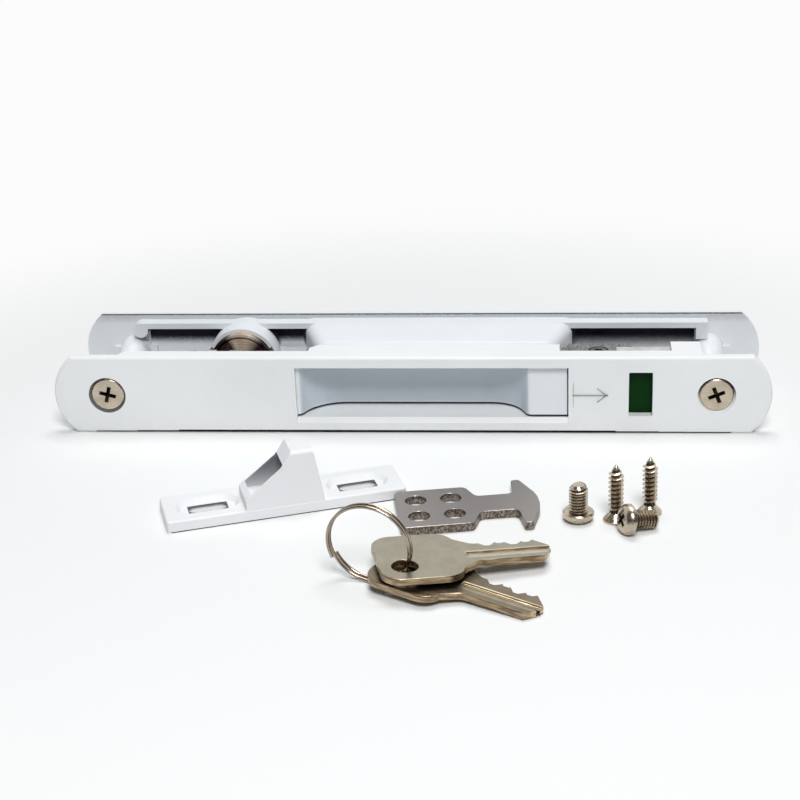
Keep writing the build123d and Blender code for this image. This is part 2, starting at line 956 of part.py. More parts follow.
def cam():
    """The driver on the plug's tail: a disc with a pin that works in the slot of the bar."""
    disc = rod(cylinder_x, mid_z, cam_radius, cam_near(), cam_far())
    disc = chamfer(disc.faces().sort_by(Axis.Y)[0].edges(), cam_edge)
    half = plug_tail / 2 + pin_gap
    disc -= block(
        cylinder_x - half, cylinder_x + half, 0, back_inner, mid_z - half, mid_z + half
    )
    disc += rod(cylinder_x, mid_z + cam_throw, cam_pin_radius, cam_pin_tip, cam_far())
    return turned(disc)


def cam_screw():
    seat = cam_near()
    head = rod(cylinder_x, mid_z, cam_screw_head_radius, seat - cam_screw_head_height, seat)
    head = fillet(head.faces().sort_by(Axis.Y)[0].edges(), cam_screw_head_edge)
    tip = seat - cam_screw_head_height + cam_screw_length - pin_gap
    return head + rod(cylinder_x, mid_z, cam_screw_radius, seat, tip)


def tower_profile():
    """The strike's tower seen from the front."""
    return make_face(
        Polyline(
            (tower_left, strike_thickness / 2),
            (tower_left, tower_shoulder),
            tower_knee,
            (tower_top_left, tower_height),
            (tower_top_right, tower_height),
            (tower_right, strike_thickness / 2),
            close=True,
        )
    )


def tower_side(inset, top):
    """The tower seen from its end, leaning in towards its top."""
    return make_face(
        Polyline(
            (inset, 0),
            (inset + tower_front_lean, top),
            (tower_top_depth - inset, top),
            (tower_foot_depth - inset, 0),
            close=True,
        )
    )


def strike_tower():
    front = slab(tower_profile(), 0, strike_width)
    reach = strike_length
    side = extrude(Plane.YZ.offset(-reach) * tower_side(0, tower_height), 2 * reach)
    tower = front & side
    brow = tower.edges().filter_by(Axis.X).group_by(Axis.Z)[-1].sort_by(Axis.Y)[0]
    return fillet(brow, tower_round)


def tower_pocket():
    """The hollow that the hook enters through the slope or through the steep side."""
    left = tower_left + tower_wall
    right = tower_right + 2
    side = tower_side(tower_skin, tower_height)
    hollow = extrude(Plane.YZ.offset(left) * side, right - left)
    under_slope = block(left, tower_knee[0], 0, strike_width, tower_floor, tower_height)
    under_roof = block(tower_knee[0], right, 0, strike_width, tower_floor, tower_roof_low)
    return hollow & (under_slope + under_roof)


def slot_recess():
    """The sloped recess round a slot, wide at the top of the strike and narrower at its floor."""
    floor_length = slot_rim_length - 2 * slot_floor_inset
    floor_width = slot_rim_width - 2 * slot_floor_inset
    floor = Pos(0, 0, strike_thickness - slot_floor_depth) * SlotOverall(floor_length, floor_width)
    rim = Pos(0, 0, strike_thickness) * SlotOverall(slot_rim_length, slot_rim_width)
    above = extrude(rim, slot_floor_depth)
    return loft([floor, rim]) + above


def strike():
    half = strike_length / 2
    base = block(-half, half, 0, strike_width, 0, strike_thickness)
    base = fillet(base.edges().filter_by(Axis.Z), strike_corner_radius)
    base = fillet(base.faces().sort_by(Axis.Z)[-1].edges(), strike_edge_radius)
    body = base + strike_tower() - tower_pocket()
    for x in (-slot_x, slot_x):
        centre = Pos(x, strike_width / 2, 0)
        body -= centre * extrude(SlotOverall(slot_length, slot_width), strike_thickness + 1)
        body -= centre * slot_recess()
    return Pos(*strike_place, 0) * Rot(0, 0, strike_turn) * body


def hook_outline():
    """Square body, narrow neck and a double barbed head, drawn with the body's end at x = 0."""
    half_body = hook_body_width / 2
    half_neck = hook_neck_width / 2
    half_head = hook_head_width / 2
    neck_start = hook_body_length + hook_shoulder_run
    barb_start = hook_neck_end + hook_barb_run
    upper = [
        (0, half_body),
        (hook_body_length, half_body),
        (neck_start, half_neck),
        (hook_neck_end, half_neck),
        (barb_start, half_head),
        (barb_start + hook_barb_flat, half_head),
        (hook_head_end - hook_barb_run, half_neck),
        (hook_head_end, hook_nose_half),
    ]
    lower = [(x, -y) for x, y in reversed(upper)]
    return make_face(Polyline(*upper, *lower, close=True))


def hook_plate():
    plate = extrude(hook_outline(), hook_thickness)
    uprights = plate.edges().filter_by(Axis.Z)
    ends = uprights.group_by(Axis.X)
    plate = fillet(ends[0], hook_corner_radius)
    middle = plate.edges().filter_by(Axis.Z).filter_by_position(
        Axis.X, hook_body_length - 0.1, hook_neck_end + 0.1
    )
    plate = fillet(middle, hook_neck_radius)
    barbs = plate.edges().filter_by(Axis.Z).filter_by_position(
        Axis.X, hook_neck_end + 0.3, hook_head_end + 0.1
    )
    plate = fillet(barbs, hook_tip_radius)
    for x, y in hook_hole_places(hook_hole_from_end, 0):
        plate -= Pos(x, y, 0) * Cylinder(hook_hole_radius, 3 * hook_thickness)
    hung = Pos(0, -hook_body_width / 2, 0) * plate
    return Pos(*hook_place, 0) * Rot(0, 0, hook_turn) * hung


def machine_screw():
    """A pan-head screw standing on its head, its axis on Z."""
    outline = [
        (0, 0),
        (machine_head_radius - machine_dome, 0),
        (machine_head_radius, machine_dome),
        (machine_head_radius, machine_head_height),
        (machine_shank_radius, machine_head_height),
        (machine_shank_radius, machine_length - machine_tip),
        (machine_shank_radius - machine_tip, machine_length),
        (0, machine_length),
    ]
    profile = Plane.XZ * make_face(Polyline(*outline, close=True))
    return revolve(profile, Axis.Z)


def lying_tilt():
    """How far a machine screw dips when it lies on its head's rim and the end of its shank."""
    reach = machine_length - machine_tip - machine_dome
    return math.degrees(math.atan((machine_head_radius - machine_shank_radius) / reach))


def hook_screws():
    standing = Pos(*standing_machine_place, 0) * machine_screw()
    tilt = lying_tilt()
    height = machine_head_radius * math.cos(math.radians(tilt)) + machine_dome * math.sin(
        math.radians(tilt)
    )
    lying = Rot(0, 90 + tilt, 0) * machine_screw()
    lying = Pos(*lying_machine_place, height) * Rot(0, 0, lying_machine_turn) * lying
    return Compound(children=[standing, lying])


def tapping_screw():
    """A countersunk tapping screw standing on its head, its axis on Z."""
    neck = tapping_shank_radius * tapping_neck_share
    outline = [
        (0, 0),
        (tapping_head_radius, 0),
        (tapping_head_radius, tapping_rim),
        (tapping_shank_radius, tapping_head_height),
        (tapping_shank_radius, tapping_length - tapping_point),
        (neck, tapping_length - tapping_point * tapping_neck_place),
        (0, tapping_length),
    ]
    profile = Plane.XZ * make_face(Polyline(*outline, close=True))
    return revolve(profile, Axis.Z)


def strike_screws():
    return Compound(children=[Pos(x, y, 0) * tapping_screw() for x, y in tapping_places])


def key_outline():
    """A squarish bow with rounded corners and a blade with a pointed tip."""
    bow_length = key_bow_back + key_bow_front
    bow = Pos((key_bow_front - key_bow_back) / 2, 0) * RectangleRounded(
        bow_length, key_bow_width, key_bow_corner
    )
    half = key_blade_width / 2
    shoulder = key_bow_front + key_shoulder
    tip = key_length
    blade = Polyline(
        (0, half + key_shoulder),
        (key_bow_front - 1, half + key_shoulder),
        (shoulder, half),
        (tip - key_tip_run, half),
        (tip, key_tip_half),
        (tip, -key_tip_half),
        (tip - key_tip_run * key_tip_near_share, -half),
        (shoulder, -half),
        (key_bow_front - 1, -half - key_shoulder),
        (0, -half - key_shoulder),
        close=True,
    )
    outline = (bow + make_face(blade)).faces()[0]
    corners = outline.vertices().filter_by_position(Axis.X, shoulder - 0.01, shoulder + 0.01)
    return fillet(corners, key_shoulder_radius)


def key():
    """A flat key, with the cuts on its far edge and a groove along each side of the blade."""
    body = extrude(key_outline(), key_thickness)
    body -= Pos(*key_hole_place, 0) * Cylinder(key_hole_radius, 3 * key_thickness)
    half = key_blade_width / 2
    shoulder = key_bow_front + key_shoulder
    for i, depth in enumerate(key_cut_depths):
        x = key_length - key_first_cut - (len(key_cut_depths) - 1 - i) * key_cut_pitch
        low = half - depth
        notch = Polyline(
            (x - key_cut_width / 2, low),
            (x + key_cut_width / 2, low),
            (x + key_cut_width / 2 + depth + key_cut_flare, half + key_cut_flare),
            (x - key_cut_width / 2 - depth - key_cut_flare, half + key_cut_flare),
            close=True,
        )
        body -= extrude(make_face(notch), key_thickness)
    groove_left = shoulder + key_groove_start
    groove_length = key_length + 1 - groove_left
    for z in (0, key_thickness):
        groove = Box(groove_length, key_groove_width, 2 * key_groove_depth)
        body -= Pos(groove_left + groove_length / 2, key_groove_place, z) * groove
    return body


def placed_key(place, turn):
    return Pos(*place) * Rot(0, 0, turn) * Rot(0, key_tilt, 0) * key()


def ring_centre_z():
    """The height at which the lowest wire of the leaning ring touches the table."""
    tilt = math.radians(ring_tilt)
    half_height = ring_pitch * ring_turns / 2
    return ring_radius * math.sin(tilt) + half_height * abs(math.cos(tilt)) + ring_wire / 2


def split_ring():
    turns = coil(ring_radius, ring_wire, ring_pitch, ring_turns, -ring_pitch * ring_turns / 2)
    leaning = Rot(ring_tilt, 0, 0) * Rot(0, 0, ring_spin) * turns
    return Pos(*ring_place, ring_centre_z()) * Rot(0, 0, ring_turn) * leaning


def coil_gap(radius, wire, pitch, turns):
    """The least gap between neighbouring turns, measured on points of the path."""
    path = coil_path(radius, pitch, turns, 0)
    steps = 240
    points = [path @ (i / steps) for i in range(steps + 1)]
    apart = steps // (2 * turns)
    least = min(
        (points[i] - points[j]).length
        for i in range(steps + 1)
        for j in range(i + apart, steps + 1)
    )
    return least - wire


pieces = {
    "front_plate": front_plate(),
    "slide_handle": slide_handle(),
    "indicator_strip": indicator_strip(),
    "green_flag": indicator_flag(window_left),
    "red_flag": indicator_flag(window_left - travel),
    "strip_rivets": rivets(strip_rivet_x, {"pull": pull_back, "head": pull_back + strip_thickness}),
    "drive_bar": drive_bar(),
    "bar_rivets": rivets(bar_rivet_x, {"pull": bar_front(), "head": bar_front() + bar_thickness}),
    "carriage": carriage(),
    "carriage_pin": carriage_pin(),
    "guide_tongue": guide_tongue(),
    "detent_plug": detent_plug(),
    "detent_spring": detent_spring(),
    "detent_ball": detent_ball(),
    "left_retainer": left_retainer(),
    "retainer_screws": retainer_screws(),
    "back_plate": back_plate(),
    "through_screws": through_screws(),
    "cylinder_body": cylinder_body(),
    "cylinder_plug": cylinder_plug(),
    "tumblers": tumblers(),
    "cam": cam(),
    "cam_screw": cam_screw(),
    "cylinder_clip": cylinder_clip(),
    "strike": strike(),
    "hook_plate": hook_plate(),
    "hook_screws": hook_screws(),
    "strike_screws": strike_screws(),
    "key_lower": placed_key(lower_key_place, lower_key_turn),
    "key_upper": placed_key(upper_key_place, upper_key_turn),
    "split_ring": split_ring(),
}

# The set is centred on the origin in X and Y and stands on Z = 0
spans = [piece.bounding_box() for piece in pieces.values()]
centre_x = (min(span.min.X for span in spans) + max(span.max.X for span in spans)) / 2
centre_y = (min(span.min.Y for span in spans) + max(span.max.Y for span in spans)) / 2

for name, piece in pieces.items():
    export_step(Pos(-centre_x, -centre_y, 0) * piece, "parts/" + name + ".step")

print("set centre", round(centre_x, 4), round(centre_y, 4))
print("cam turn", round(2 * cam_half_turn, 3), "degrees for", travel, "mm")
print("ring gap", round(coil_gap(ring_radius, ring_wire, ring_pitch, ring_turns), 3))
spring_low, spring_high = spring_ends()
spring_pitch = (spring_high - spring_low) / spring_turns
print("spring gap", round(coil_gap(spring_radius(), spring_wire, spring_pitch, spring_turns), 3))
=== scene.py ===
from math import atan, cos, pi, radians, sin

import bmesh
import bpy
from mathutils import Matrix, Vector


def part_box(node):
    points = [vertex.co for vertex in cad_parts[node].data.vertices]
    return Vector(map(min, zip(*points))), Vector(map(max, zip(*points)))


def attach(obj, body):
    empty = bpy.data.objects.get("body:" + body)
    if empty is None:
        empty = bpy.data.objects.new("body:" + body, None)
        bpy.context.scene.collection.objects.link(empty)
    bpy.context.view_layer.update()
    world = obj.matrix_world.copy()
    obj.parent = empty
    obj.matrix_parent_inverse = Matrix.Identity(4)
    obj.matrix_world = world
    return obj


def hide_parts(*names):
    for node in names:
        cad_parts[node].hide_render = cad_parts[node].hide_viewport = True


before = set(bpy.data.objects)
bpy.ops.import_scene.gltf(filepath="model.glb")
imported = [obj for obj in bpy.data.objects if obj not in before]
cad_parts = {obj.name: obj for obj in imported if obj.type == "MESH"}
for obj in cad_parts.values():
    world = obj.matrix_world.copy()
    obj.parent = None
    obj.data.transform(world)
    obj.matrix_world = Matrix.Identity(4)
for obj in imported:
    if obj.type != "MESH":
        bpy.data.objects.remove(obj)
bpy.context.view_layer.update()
front_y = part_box("front_plate")[0].y
mid_z = (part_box("front_plate")[0].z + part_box("front_plate")[1].z) / 2


# The two cover plates are pressure die castings in zinc with a satin white paint.
# The front one carries the finger recess and the window, the back one the grip cup
# and the bosses, and the door is clamped between them.
plate_white = (0.80, 0.815, 0.815)
back_white = (0.74, 0.765, 0.785)
speck_grey = (0.42, 0.42, 0.41)
paint_roughness = 0.36
peel_depth = 0.00003
clamp_x = 0.0857
wall_thickness = 0.0026


def feed(tree, node, inputs):
    """Fill a node's sockets, with a link from another node or with a plain value."""
    for socket, value in inputs.items():
        if isinstance(value, bpy.types.NodeSocket):
            tree.links.new(value, node.inputs[socket])
        elif node.inputs[socket].type == "RGBA":
            node.inputs[socket].default_value = (*value, 1)
        else:
            node.inputs[socket].default_value = value
    return node


def fit(tree, kind, inputs=None, **settings):
    """Add one shader node, its settings first and then its sockets."""
    node = tree.nodes.new("ShaderNode" + kind)
    for setting, value in settings.items():
        setattr(node, setting, value)
    return feed(tree, node, inputs or {})


def own_place(tree):
    """Where a point lies on the piece itself."""
    return fit(tree, "TexCoord").outputs["Object"]


def split(tree, vector):
    """A vector's X, Y and Z."""
    return fit(tree, "SeparateXYZ", {"Vector": vector}).outputs


def grain(tree, place, scale, detail, roughness=0.5):
    """Irregular grain of one size, from 0 to 1."""
    sockets = {"Vector": place, "Scale": scale, "Detail": detail, "Roughness": roughness}
    return fit(tree, "TexNoise", sockets).outputs["Fac"]


def ranged(tree, value, least, most, start=0, end=1, way="LINEAR"):
    """A value between two limits, stretched to another range and held at its ends."""
    sockets = {"Value": value, "From Min": least, "From Max": most, "To Min": start, "To Max": end}
    return fit(tree, "MapRange", sockets, interpolation_type=way).outputs["Result"]


def worked(tree, operation, *terms, **settings):
    """The result of one sum."""
    return fit(tree, "Math", dict(enumerate(terms)), operation=operation, **settings).outputs["Value"]


def blended(tree, share, first, second, way="MIX"):
    """Two colours, with more of the second where the share is higher."""
    sockets = {"Factor": share, "A": first, "B": second}
    return fit(tree, "Mix", sockets, data_type="RGBA", blend_type=way).outputs["Result"]


def bumped(tree, height, strength, distance):
    """A fine relief on the surface."""
    return fit(tree, "Bump", {"Height": height, "Strength": strength, "Distance": distance}).outputs["Normal"]


def shared_finish(name, inputs):
    """A finish that several materials use, with its own inputs and the three that it gives back."""
    group = bpy.data.node_groups.new(name, "ShaderNodeTree")
    given_back = {"Colour": "Color", "Roughness": "Float", "Height": "Float"}
    for direction, sockets in (("INPUT", inputs), ("OUTPUT", given_back)):
        for label, kind in sockets.items():
            group.interface.new_socket(label, in_out=direction, socket_type="NodeSocket" + kind)
    return group, group.nodes.new("NodeGroupInput").outputs, group.nodes.new("NodeGroupOutput")


def new_material(name):
    """A material of its own, its nodes and its shader."""
    material = bpy.data.materials.new(name)
    material.use_nodes = True
    return material, material.node_tree, material.node_tree.nodes["Principled BSDF"]


def paint_film():
    """Sprayed paint: a faint unevenness of tone, orange peel and a few small specks."""
    film, given, result = shared_finish("paint_film", {"Paint": "Color", "Speck": "Float"})
    place = own_place(film)
    cloud = grain(film, place, 45, 4)
    peel = grain(film, place, 900, 3)
    dust = fit(film, "TexVoronoi", {"Vector": place, "Scale": 62}).outputs["Distance"]
    uneven = blended(film, 1, given["Paint"], ranged(film, cloud, 0.3, 0.7, 0.955, 1.0), "MULTIPLY")
    speck = worked(film, "MULTIPLY", ranged(film, dust, 0.012, 0.022, 1, 0), given["Speck"])
    gloss = ranged(film, cloud, 0, 1, paint_roughness - 0.04, paint_roughness + 0.07)
    colour = blended(film, speck, uneven, speck_grey)
    feed(film, result, {"Colour": colour, "Roughness": gloss, "Height": peel})
    return film


def painted(name, colour, speck):
    """A satin paint made with the paint film."""
    material, tree, surface = new_material(name)
    film = fit(tree, "Group", node_tree=bpy.data.node_groups.get("paint_film") or paint_film())
    feed(tree, film, {"Paint": colour, "Speck": speck})
    sockets = {
        "Base Color": film.outputs["Colour"],
        "Roughness": film.outputs["Roughness"],
        "Normal": bumped(tree, film.outputs["Height"], 0.25, peel_depth),
        "Specular IOR Level": 0.3,
    }
    feed(tree, surface, sockets)
    return material


def shade_in_box(material, tone, low, high, reach=(0.003, 0.002), ragged=0.0001, spot=(0, 0, 0), turn=0.0):
    """Inside a box the surface takes a dull tone of painted shade.

    From the box's top the tone is full over the second reach and gone at the first, with a
    ragged line between them. A spot and a turn in degrees lay the box out on a turned piece.
    """
    tree = material.node_tree
    surface = tree.nodes["Principled BSDF"]
    unshaded_colour = surface.inputs["Base Color"].links[0].from_socket
    unshaded_roughness = surface.inputs["Roughness"].links[0].from_socket
    place = own_place(tree)
    laid_out = {"Vector": place, "Location": spot, "Rotation": (0, 0, radians(turn))}
    on_piece = split(tree, fit(tree, "Mapping", laid_out, vector_type="TEXTURE").outputs["Vector"])
    jitter = worked(tree, "MULTIPLY_ADD", grain(tree, place, 2600, 3), ragged, -ragged / 2)
    height = worked(tree, "ADD", on_piece["Z"], jitter)
    mask = ranged(tree, height, high[2] - reach[0], high[2] - reach[1], way="SMOOTHSTEP")
    for axis, least, most in zip("XYZ", low, high):
        for side, limit in (("GREATER_THAN", least), ("LESS_THAN", most)):
            mask = worked(tree, "MULTIPLY", mask, worked(tree, side, on_piece[axis], limit))
    matt = fit(tree, "Mix", {"Factor": mask, "A": unshaded_roughness, "B": 0.95}).outputs["Result"]
    feed(tree, surface, {"Base Color": blended(tree, mask, unshaded_colour, tone), "Roughness": matt})


def shaped(name, skin):
    """A finished mesh as an object at the origin."""
    mesh = bpy.data.meshes.new(name)
    skin.to_mesh(mesh)
    skin.free()
    piece = bpy.data.objects.new(name, mesh)
    bpy.context.scene.collection.objects.link(piece)
    return piece


def finished(node, body, material, name, soft_edge=0.0, crease=28):
    """The piece's own surface with its curves smooth and, if asked, its sharp edges broken."""
    skin = bmesh.new()
    skin.from_mesh(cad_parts[node].data)
    # The loose triangles are merged and the flat ones joined, so that only true edges are left.
    bmesh.ops.remove_doubles(skin, verts=skin.verts, dist=0.000002)
    bmesh.ops.dissolve_limit(skin, angle_limit=radians(0.4), verts=skin.verts, edges=skin.edges)
    for face in skin.faces:
        face.smooth = True
        face.material_index = 0
    for edge in skin.edges:
        edge.smooth = edge.calc_face_angle(0) < radians(crease)
    piece = shaped(name, skin)
    if soft_edge:
        rounding = piece.modifiers.new("soft_edge", "BEVEL")
        rounding.width = soft_edge
        rounding.segments = 2
        rounding.limit_method = "ANGLE"
        rounding.angle_limit = radians(crease)
        rounding.use_clamp_overlap = True
    piece.data.materials.append(material)
    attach(piece, body)
    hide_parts(node)


# A dark line of painted shadow runs under the front plate's foot, thinner towards both ends.
foot_shadow_dark = (0.010, 0.010, 0.013)
foot_shadow_faint = (0.08, 0.08, 0.085)
plate_paint = painted("plate_paint", plate_white, 0.8)
for left, right, foot_height, foot_shade in (
    (-0.0660, 0.0580, 0.00090, foot_shadow_dark),
    (-0.0900, -0.0780, 0.00055, foot_shadow_faint),
    (-0.0780, -0.0660, 0.00072, foot_shadow_faint),
    (0.0580, 0.0700, 0.00072, foot_shadow_faint),
    (0.0700, 0.0900, 0.00055, foot_shadow_faint),
):
    shade_in_box(
        plate_paint, foot_shade, (left, front_y - 0.001, -0.001), (right, front_y + 0.003, foot_height)
    )
# Painted shade also lies round the two screw heads, all round the left one and above the right one.
sink_reach = 0.0056
for sink_x, sink_shade, sink_fade in (
    (-clamp_x, (0.14, 0.14, 0.145), (0.0200, 0.0150)),
    (clamp_x, (0.04, 0.04, 0.045), (0.0076, 0.0032)),
):
    sink_low = (sink_x - sink_reach, front_y + 0.00004, mid_z - sink_reach)
    sink_high = (sink_x + sink_reach, front_y + 0.0030, mid_z + sink_reach)
    shade_in_box(plate_paint, sink_shade, sink_low, sink_high, sink_fade, 0.0006)
finished("front_plate", "case", plate_paint, "front_plate_casting")

# The back plate has painted shade under its top rib on both sides of the grip cup, a dark
# upper edge of painted shade, and a darker grey band below that edge.
back_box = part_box("back_plate")
back_top = back_box[1].z
back_wall = back_box[1].y - wall_thickness
wall_skin = back_wall + 0.0004
rib_front = back_wall - 0.0038
rib_under = back_top - 0.0030
back_paint = painted("back_plate_paint", back_white, 1.0)
for tone, low, high, reach, ragged in (
    (
        (0.022, 0.020, 0.034),
        (-0.0812, rib_front, 0.004),
        (-0.0300, wall_skin, rib_under),
        (0.0066, 0.0036),
        0.0016,
    ),
    (
        (0.018, 0.017, 0.027),
        (0.0300, rib_front, 0.004),
        (0.0818, wall_skin, rib_under),
        (0.0100, 0.0032),
        0.0014,
    ),
    (
        (0.13, 0.135, 0.15),
        (-0.0965, back_wall - 0.0003, back_top - 0.0004),
        (0.0965, wall_skin, back_top + 0.001),
        (0.0015, 0.0012),
        0.0006,
    ),
    (
        (0.55, 0.565, 0.58),
        (-0.0975, back_wall - 0.0004, back_top - 0.0040),
        (0.0975, wall_skin, back_top - 0.0004),
        (0.0030, 0.0002),
        0.0030,
    ),
):
    shade_in_box(back_paint, tone, low, high, reach, ragged)
finished("back_plate", "case", back_paint, "back_plate_casting")


# The ends of the two clamping screws are buried in the bosses of the back plate, whose
# paint has run into a soft white lump round each of them.
lump_radius = 0.0047
lump_height = 0.0092
lump_foot = 0.0008
boss_face = back_wall - 0.0032


def turned_profile(bm, outline, steps=64):
    """A solid of revolution about Z, from points (radius, height)."""
    points = [bm.verts.new((radius, 0, height)) for radius, height in outline]
    sides = [bm.edges.new(pair) for pair in zip(points, points[1:])]
    bmesh.ops.spin(
        bm,
        geom=points + sides,
        cent=(0, 0, 0),
        axis=(0, 0, 1),
        angle=2 * pi,
        steps=steps,
        use_merge=True,
    )
    bmesh.ops.remove_doubles(bm, verts=bm.verts, dist=0.0000005)
    bmesh.ops.recalc_face_normals(bm, faces=bm.faces)


lump_outline = [
    (lump_radius * sin(radians(angle)), lump_height * cos(radians(angle))) for angle in range(0, 91, 10)
]
for lump_name, lump_x in (("left_boss_lump", -clamp_x), ("right_boss_lump", clamp_x)):
    lump = bmesh.new()
    turned_profile(lump, lump_outline + [(lump_radius, -lump_foot)], 48)
    lay = Matrix.Translation((lump_x, boss_face, mid_z)) @ Matrix.Rotation(radians(90), 4, "X")
    bmesh.ops.transform(lump, matrix=lay, verts=lump.verts)
    for face in lump.faces:
        face.smooth = True
    lump_piece = shaped(lump_name, lump)
    lump_piece.data.materials.append(back_paint)
    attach(lump_piece, "case")


# The direction mark on the front plate is a shallow engraved line: a bar and a plain
# arrow towards the locked end. It is cut into the casting and painted over. Here it is
# drawn as thin bars whose dark grey is painted shadow in the engraved line.
mark_left = 0.0462
mark_length = 0.0092
mark_height = 0.0064
mark_line = 0.00070
mark_depth = 0.00006
barb_length = 0.0024
barb_height = 0.0019


def engraved_line(bm, start, end):
    """One straight stroke of the mark, a thin bar half sunk in the face of the plate."""
    span = end - start
    stroke = bmesh.ops.create_cube(bm, size=1)["verts"]
    shape = (
        Matrix.Translation((start + end) / 2)
        @ span.to_track_quat("X", "Y").to_matrix().to_4x4()
        @ Matrix.Diagonal((span.length + mark_line, mark_depth, mark_line, 1))
    )
    bmesh.ops.transform(bm, matrix=shape, verts=stroke)


mark = bmesh.new()
mark_bar = Vector((mark_left, front_y, mid_z + 0.0002))
mark_tip = mark_bar + Vector((mark_length, 0, 0))
half_bar = Vector((0, 0, mark_height / 2))
engraved_line(mark, mark_bar - half_bar, mark_bar + half_bar)
engraved_line(mark, mark_bar, mark_tip)
for side in (1, -1):
    engraved_line(mark, mark_tip + Vector((-barb_length, 0, barb_height * side)), mark_tip)
direction_mark = shaped("direction_mark", mark)
# The bar's dark grey is painted shadow.
direction_mark.data.materials.append(painted("mark_shadow_paint", (0.27, 0.28, 0.29), 0.0))
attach(direction_mark, "case")


# The finger pull is a separate white zinc casting, a wavy wall that slides on its two
# flat ends behind the front plate. Painted shade makes the deep pocket duller than its rim
# and lies in dark lines along its lower edge and at its right end.
pull_paint = painted("pull_paint", (0.755, 0.78, 0.80), 0.35)
for tone, low, high, reach, ragged in (
    (
        (0.56, 0.61, 0.66),
        (-0.0312, front_y + 0.0019, 0.0),
        (0.0346, front_y + 0.0200, 0.024),
        (0.020, 0.018),
        0.0010,
    ),
    (
        (0.012, 0.012, 0.02),
        (-0.0335, front_y + 0.0010, 0.0040),
        (0.0460, front_y + 0.0140, 0.00505),
        (0.006, 0.005),
        0.0001,
    ),
    (
        (0.04, 0.04, 0.05),
        (0.04445, front_y + 0.0010, 0.0045),
        (0.0460, front_y + 0.0030, 0.0205),
        (0.020, 0.018),
        0.0001,
    ),
):
    shade_in_box(pull_paint, tone, low, high, reach, ragged)
finished("slide_handle", "slide", pull_paint, "finger_pull_casting")


# The strike is a white zinc casting with a hollow wedge tower for the hook and two stepped
# slots for its screws. Painted shade dulls the inside of the slots and the tower and lies dark along its
# foot.
strike_spot = (-0.0260, front_y - 0.0526, 0)
strike_turn = 20.0
slot_shade = (0.14, 0.14, 0.15)
strike_paint = painted("strike_paint", (0.80, 0.81, 0.815), 0.5)
for tone, low, high, reach, ragged in (
    (slot_shade, (-0.0247, 0.0057, 0.0003), (-0.0145, 0.0099, 0.00195), (0.0012, 0.0004), 0.0002),
    (slot_shade, (0.0145, 0.0057, 0.0003), (0.0247, 0.0099, 0.00195), (0.0012, 0.0004), 0.0002),
    ((0.15, 0.15, 0.175), (-0.00925, 0.0020, 0.0046), (0.0095, 0.0102, 0.01365), (0.0150, 0.0010), 0.0006),
    ((0.05, 0.05, 0.055), (-0.0300, -0.001, -0.001), (0.0320, 0.001, 0.00026), (0.003, 0.002), 0.0001),
):
    shade_in_box(strike_paint, tone, low, high, reach, ragged, strike_spot, strike_turn)
finished("strike", "case", strike_paint, "strike_casting", soft_edge=0.00028)


# The indicator is a strip of plain steel riveted behind the pull, with a green and a red
# field stuck on it. Only the one behind the window shows.
def rolled_metal():
    """Sheet and bar metal: fine drawn lines along X and blotches of a duller tone."""
    inputs = {"Metal": "Color", "Dull": "Color", "Turn": "Vector", "Roughness": "Float"}
    sheet, given, result = shared_finish("rolled_metal", inputs)
    place = own_place(sheet)
    along = fit(sheet, "Mapping", {"Vector": place, "Rotation": given["Turn"]}).outputs["Vector"]
    drawn = fit(sheet, "Mapping", {"Vector": along, "Scale": (0.05, 1, 1)}).outputs["Vector"]
    lines = grain(sheet, drawn, 3200, 2)
    blotch = ranged(sheet, grain(sheet, place, 240, 5), 0.34, 0.68)
    uneven = ranged(sheet, lines, 0.3, 0.7, -0.06, 0.09)
    sockets = {
        "Colour": blended(sheet, blotch, given["Dull"], given["Metal"]),
        "Roughness": worked(sheet, "ADD", given["Roughness"], uneven, use_clamp=True),
        "Height": lines,
    }
    feed(sheet, result, sockets)
    return sheet


def bright_metal(name, colour, dull, roughness, turn=0.0):
    """A bare or plated metal made with the rolled metal, its lines turned by an angle."""
    material, tree, surface = new_material(name)
    sheet = fit(tree, "Group", node_tree=bpy.data.node_groups.get("rolled_metal") or rolled_metal())
    feed(tree, sheet, {"Metal": colour, "Dull": dull, "Turn": (0, 0, turn), "Roughness": roughness})
    sockets = {
        "Metallic": 1,
        "Base Color": sheet.outputs["Colour"],
        "Roughness": sheet.outputs["Roughness"],
        "Normal": bumped(tree, sheet.outputs["Height"], 0.35, 0.00001),
    }
    feed(tree, surface, sockets)
    return material


def printed_film(name, colour):
    """A coloured film with a slightly mottled print under a clear skin."""
    material, tree, surface = new_material(name)
    ink = grain(tree, own_place(tree), 1600, 6)
    sockets = {
        "Specular IOR Level": 0.08,
        "Base Color": blended(tree, ink, [0.55 * part for part in colour], colour),
        "Roughness": ranged(tree, ink, 0, 1, 0.38, 0.6),
        "Normal": bumped(tree, ink, 0.3, 0.00002),
    }
    feed(tree, surface, sockets)
    return material


strip_steel = bright_metal("strip_steel", (0.50, 0.50, 0.49), (0.36, 0.36, 0.35), 0.34)
finished("indicator_strip", "slide", strip_steel, "indicator_strip_steel")
finished("strip_rivets", "slide", strip_steel, "strip_rivet_heads")
finished("green_flag", "slide", printed_film("green_print", (0.002, 0.036, 0.005)), "green_field")
finished("red_flag", "slide", printed_film("red_print", (0.42, 0.012, 0.012)), "red_field")


# The drive bar is zinc-plated sheet steel, stamped and bent, and riveted to the back of
# the pull. The strap that holds the pull's left end and its screws are the same stock.
bar_zinc = bright_metal("bar_zinc", (0.52, 0.52, 0.53), (0.33, 0.33, 0.34), 0.38)
finished("drive_bar", "slide", bar_zinc, "drive_bar_steel", soft_edge=0.00015)
finished("bar_rivets", "slide", bar_zinc, "bar_rivet_heads")
finished("left_retainer", "case", bar_zinc, "retainer_strap", soft_edge=0.0001)
finished("retainer_screws", "case", bar_zinc, "retainer_screw_heads")


